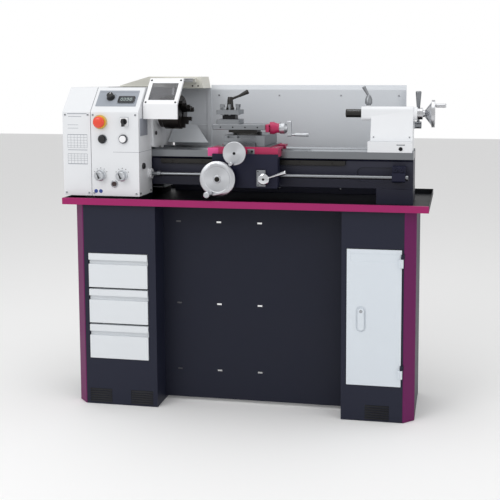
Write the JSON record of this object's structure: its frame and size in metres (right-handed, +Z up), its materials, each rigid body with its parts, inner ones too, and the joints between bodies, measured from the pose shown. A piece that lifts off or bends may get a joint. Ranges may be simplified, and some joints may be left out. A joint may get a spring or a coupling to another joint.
{
  "type": "metal lathe",
  "caption": "Metal-turning lathe on a cabinet stand: headstock with chuck and guard, bed, carriage with slides, tailstock, chip tray, drawers and a door.",
  "frame": {"origin": "on the floor, at the centre of the four anchor holes, under the spindle axis", "axes": "+X along the bed from the headstock to the tailstock, -Y towards the operator, +Z up"},
  "size_m": [1.3553, 0.543, 1.192],
  "materials": {
    "aluminium": "satin",
    "anthracite": "satin",
    "black_oxide": "satin",
    "black_plastic": "matte",
    "cast_blue_black": "satin",
    "casting_grey": "matte",
    "chrome": "polished",
    "crimson": "satin",
    "deep_magenta": "satin",
    "drawer_grey": "satin",
    "guard_white": "satin",
    "magenta": "satin",
    "panel_anthracite": "satin",
    "panel_silver": "matte",
    "red_plastic": "gloss",
    "rubber": "matte",
    "splash_grey": "satin",
    "steel": "satin",
    "tray_black": "satin",
    "white_enamel": "satin",
    "white_plastic": "gloss",
    "window": "gloss"
  },
  "bodies": {
    "stand": {"left_pedestal": "anthracite", "right_pedestal": "anthracite", "corner_strips": "deep_magenta", "kick_panel": "panel_anthracite", "chip_tray": "tray_black", "tray_front_lip": "magenta", "bed": "cast_blue_black", "feed_rack": "steel", "leadscrew_bracket": "cast_blue_black", "headstock_casting": "white_enamel", "headstock_cover": "white_enamel", "control_fittings": "panel_silver", "spindle_bearings": "steel", "drive_motor": "anthracite", "splash_guard": "splash_grey", "rear_hood": "white_enamel", "gear_banjo": "casting_grey", "drive_belt": "rubber"},
    "spindle": {"spindle": "steel", "spindle_drive_wheels": "casting_grey", "chuck_body": "black_oxide"},
    "jaw_1": {"chuck_jaw_1": "black_oxide"},
    "jaw_2": {"chuck_jaw_2": "black_oxide"},
    "jaw_3": {"chuck_jaw_3": "black_oxide"},
    "motor_drive": {"motor_pulley": "aluminium"},
    "idler": {"idler_gear": "casting_grey"},
    "leadscrew": {"leadscrew": "steel", "leadscrew_gear": "casting_grey"},
    "end_cover": {"gear_cover": "white_enamel"},
    "guard": {"chuck_guard": "guard_white", "guard_window": "window"},
    "estop": {"emergency_stop_button": "red_plastic"},
    "start": {"start_button": "black_plastic"},
    "stop": {"stop_button": "white_plastic"},
    "switch": {"direction_switch": "black_plastic"},
    "speed": {"speed_knob": "black_plastic"},
    "feed_left": {"feed_knob_left": "aluminium"},
    "feed_right": {"feed_knob_right": "aluminium"},
    "carriage": {"saddle": "crimson", "apron": "cast_blue_black"},
    "carriage_wheel": {"carriage_handwheel": "aluminium"},
    "half_nut": {"half_nut_lever": "chrome"},
    "cross": {"cross_slide": "steel"},
    "cross_wheel": {"cross_handwheel": "aluminium"},
    "compound": {"compound_swivel": "black_oxide"},
    "top": {"top_slide": "steel", "crank_bearing": "crimson"},
    "crank": {"top_slide_crank": "steel"},
    "post": {"tool_post": "steel"},
    "post_lever": {"tool_post_lever": "steel"},
    "tail": {"tailstock": "white_enamel"},
    "quill": {"quill": "black_oxide"},
    "quill_lock": {"quill_lock_lever": "steel"},
    "tail_clamp": {"tailstock_clamp_lever": "steel"},
    "tail_wheel": {"tailstock_handwheel": "chrome"},
    "drawer_low": {"drawer_bottom": "drawer_grey"},
    "drawer_mid": {"drawer_middle": "drawer_grey"},
    "drawer_up": {"drawer_top": "drawer_grey"},
    "door": {"cabinet_door": "drawer_grey"},
    "latch": {"door_latch": "drawer_grey"}
  },
  "joints": [
    {"name": "spindle_turn", "type": "hinge", "parent": "stand", "child": "spindle", "pos_m": [-0.338, 0, 1.06], "axis": [1, 0, 0], "continuous": true},
    {"name": "jaw_1_slide", "type": "slide", "parent": "spindle", "child": "jaw_1", "axis": [0, -0.766, 0.6428], "range_m": [-0.012, 0.012]},
    {"name": "jaw_2_slide", "type": "slide", "parent": "spindle", "child": "jaw_2", "axis": [0, -0.1736, -0.9848], "range_m": [-0.012, 0.012]},
    {"name": "jaw_3_slide", "type": "slide", "parent": "spindle", "child": "jaw_3", "axis": [0, 0.9397, 0.342], "range_m": [-0.012, 0.012]},
    {"name": "motor_pulley_turn", "type": "hinge", "parent": "stand", "child": "motor_drive", "pos_m": [-0.596, 0.13, 0.85], "axis": [1, 0, 0], "continuous": true},
    {"name": "idler_turn", "type": "hinge", "parent": "stand", "child": "idler", "pos_m": [-0.566, -0.07301, 0.97639], "axis": [1, 0, 0], "continuous": true},
    {"name": "leadscrew_turn", "type": "hinge", "parent": "stand", "child": "leadscrew", "pos_m": [0, -0.1, 0.838], "axis": [1, 0, 0], "continuous": true},
    {"name": "gear_cover_hinge", "type": "hinge", "parent": "stand", "child": "end_cover", "pos_m": [-0.549, 0.193, 0.94], "axis": [0, 0, -1], "range_deg": [0, 100]},
    {"name": "chuck_guard_hinge", "type": "hinge", "parent": "stand", "child": "guard", "pos_m": [-0.303, 0.066, 1.178], "axis": [-1, 0, 0], "range_deg": [0, 80]},
    {"name": "emergency_stop_press", "type": "slide", "parent": "stand", "child": "estop", "axis": [0, 1, 0], "range_m": [0, 0.004], "stiffness_N_per_m": 800},
    {"name": "start_press", "type": "slide", "parent": "stand", "child": "start", "axis": [0, 1, 0], "range_m": [0, 0.004], "stiffness_N_per_m": 400},
    {"name": "stop_press", "type": "slide", "parent": "stand", "child": "stop", "axis": [0, 1, 0], "range_m": [0, 0.004], "stiffness_N_per_m": 400},
    {"name": "direction_switch_turn", "type": "hinge", "parent": "stand", "child": "switch", "pos_m": [-0.422, -0.212, 1.033], "axis": [0, 1, 0], "range_deg": [-45, 45]},
    {"name": "speed_knob_turn", "type": "hinge", "parent": "stand", "child": "speed", "pos_m": [-0.487, -0.16705, 1.11532], "axis": [0, -0.7322, 0.6811], "range_deg": [-135, 135]},
    {"name": "feed_knob_left_turn", "type": "hinge", "parent": "stand", "child": "feed_left", "pos_m": [-0.514, -0.212, 0.84], "axis": [0, 1, 0], "range_deg": [-60, 60]},
    {"name": "feed_knob_right_turn", "type": "hinge", "parent": "stand", "child": "feed_right", "pos_m": [-0.433, -0.212, 0.84], "axis": [0, 1, 0], "range_deg": [-60, 60]},
    {"name": "carriage_slide", "type": "slide", "parent": "stand", "child": "carriage", "axis": [1, 0, 0], "range_m": [-0.085, 0.27]},
    {"name": "carriage_wheel_turn", "type": "hinge", "parent": "carriage", "child": "carriage_wheel", "pos_m": [-0.089, -0.195, 0.832], "axis": [0, 1, 0], "continuous": true},
    {"name": "half_nut_turn", "type": "hinge", "parent": "carriage", "child": "half_nut", "pos_m": [0.072, -0.15, 0.832], "axis": [0, 1, 0], "range_deg": [-25, 0]},
    {"name": "cross_wheel_turn", "type": "hinge", "parent": "carriage", "child": "cross_wheel", "pos_m": [-0.018, -0.232, 0.927], "axis": [0, 1, 0], "range_deg": [-4500, 5400]},
    {"name": "cross_slide_move", "type": "slide", "parent": "carriage", "child": "cross", "axis": [0, 1, 0], "range_m": [-0.05, 0.06]},
    {"name": "compound_swivel_turn", "type": "hinge", "parent": "cross", "child": "compound", "pos_m": [-0.01, -0.059, 0.9823], "axis": [0, 0, -1], "range_deg": [-45, 45]},
    {"name": "crank_turn", "type": "hinge", "parent": "top", "child": "crank", "pos_m": [0.11, -0.059, 1.0069], "axis": [-1, 0, 0], "range_deg": [-2700, 2700]},
    {"name": "top_slide_move", "type": "slide", "parent": "compound", "child": "top", "axis": [-1, 0, 0], "range_m": [-0.03, 0.03]},
    {"name": "tool_post_turn", "type": "hinge", "parent": "top", "child": "post", "pos_m": [-0.074, -0.059, 1.0212], "axis": [0, 0, 1], "continuous": true},
    {"name": "tool_post_lever_turn", "type": "hinge", "parent": "top", "child": "post_lever", "pos_m": [-0.074, -0.059, 1.0722], "axis": [0, 0, 1], "range_deg": [-60, 60]},
    {"name": "tailstock_slide", "type": "slide", "parent": "stand", "child": "tail", "axis": [1, 0, 0], "range_m": [-0.24, 0]},
    {"name": "tail_wheel_turn", "type": "hinge", "parent": "tail", "child": "tail_wheel", "pos_m": [0.599, 0, 1.06], "axis": [-1, 0, 0], "range_deg": [-2700, 2700]},
    {"name": "quill_move", "type": "slide", "parent": "tail", "child": "quill", "axis": [-1, 0, 0], "range_m": [-0.03, 0.03]},
    {"name": "quill_lock_turn", "type": "hinge", "parent": "tail", "child": "quill_lock", "pos_m": [0.424, 0, 1.085], "axis": [0, 0, 1], "range_deg": [-60, 60]},
    {"name": "tail_clamp_turn", "type": "hinge", "parent": "tail", "child": "tail_clamp", "pos_m": [0.6, 0.034, 1.018], "axis": [-1, 0, 0], "range_deg": [0, 60]},
    {"name": "drawer_bottom_slide", "type": "slide", "parent": "stand", "child": "drawer_low", "axis": [0, -1, 0], "range_m": [0, 0.25]},
    {"name": "drawer_middle_slide", "type": "slide", "parent": "stand", "child": "drawer_mid", "axis": [0, -1, 0], "range_m": [0, 0.25]},
    {"name": "drawer_top_slide", "type": "slide", "parent": "stand", "child": "drawer_up", "axis": [0, -1, 0], "range_m": [0, 0.25]},
    {"name": "cabinet_door_hinge", "type": "hinge", "parent": "stand", "child": "door", "pos_m": [0.5645, -0.23, 0.3665], "axis": [0, 0, 1], "range_deg": [0, 110]},
    {"name": "door_latch_turn", "type": "hinge", "parent": "door", "child": "latch", "pos_m": [0.425, -0.225, 0.39], "axis": [0, 1, 0], "range_deg": [0, 90]}
  ],
  "couplings": [
    {"joint": "jaw_2_slide", "follows": "jaw_1_slide", "ratio": 1},
    {"joint": "jaw_3_slide", "follows": "jaw_1_slide", "ratio": 1},
    {"joint": "motor_pulley_turn", "follows": "spindle_turn", "ratio": 2.24},
    {"joint": "idler_turn", "follows": "spindle_turn", "ratio": -0.37037},
    {"joint": "leadscrew_turn", "follows": "spindle_turn", "ratio": 0.5},
    {"joint": "carriage_wheel_turn", "follows": "carriage_slide", "rad_per_m": 336},
    {"joint": "cross_wheel_turn", "follows": "cross_slide_move", "rad_per_m": 1570.8},
    {"joint": "crank_turn", "follows": "top_slide_move", "rad_per_m": 1570.8},
    {"joint": "quill_move", "follows": "tail_wheel_turn", "m_per_rad": 0.00063662}
  ]
}
